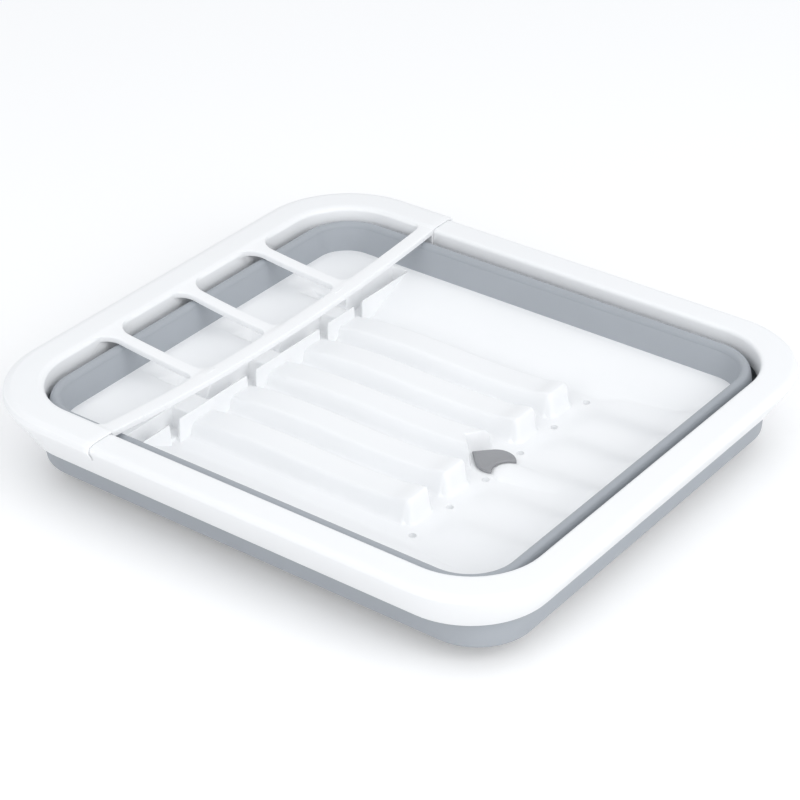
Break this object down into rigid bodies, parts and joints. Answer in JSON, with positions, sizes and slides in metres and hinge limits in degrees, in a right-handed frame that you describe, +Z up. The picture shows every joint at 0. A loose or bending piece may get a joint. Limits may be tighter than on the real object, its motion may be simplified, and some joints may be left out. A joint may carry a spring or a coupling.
{
  "type": "folding dish drainer",
  "caption": "Shallow rounded dish drainer with a ribbed base tray, a folding rubber wall, a wide rim and a barred cutlery end; the rim pulls up to open it.",
  "frame": {"origin": "centre of the footprint on the surface it stands on, at the underside of the foot pads", "axes": "+X along the length towards the plate end, +Y across, +Z up; the cutlery end is at -X"},
  "size_m": [0.365, 0.3298, 0.0566],
  "materials": {
    "white_plastic": "satin moulded polypropylene",
    "grey_rubber": "matt thermoplastic rubber"
  },
  "bodies": {
    "base": {"base_tray": "white_plastic", "wall_inner_band": "grey_rubber", "foot_pad_back_right": "grey_rubber", "foot_pad_back_left": "grey_rubber", "foot_pad_front_left": "grey_rubber", "foot_pad_front_right": "grey_rubber"},
    "rim": {"rim_frame": "white_plastic", "cutlery_frame": "white_plastic", "wall_outer_band": "grey_rubber"},
    "wall_fold": {"wall_fold_band": "grey_rubber"},
    "plug": {"drain_plug": "grey_rubber"}
  },
  "joints": [
    {"name": "unfold", "type": "slide", "parent": "base", "child": "rim", "axis": [0, 0, 1], "range_m": [0, 0.07]},
    {"name": "wall_rise", "type": "slide", "parent": "base", "child": "wall_fold", "axis": [0, 0, 1], "range_m": [0, 0.035]},
    {"name": "plug_lift", "type": "slide", "parent": "base", "child": "plug", "axis": [0, 0, 1], "range_m": [0, 0.025]}
  ],
  "couplings": [
    {"joint": "wall_rise", "follows": "unfold", "ratio": 0.5}
  ]
}
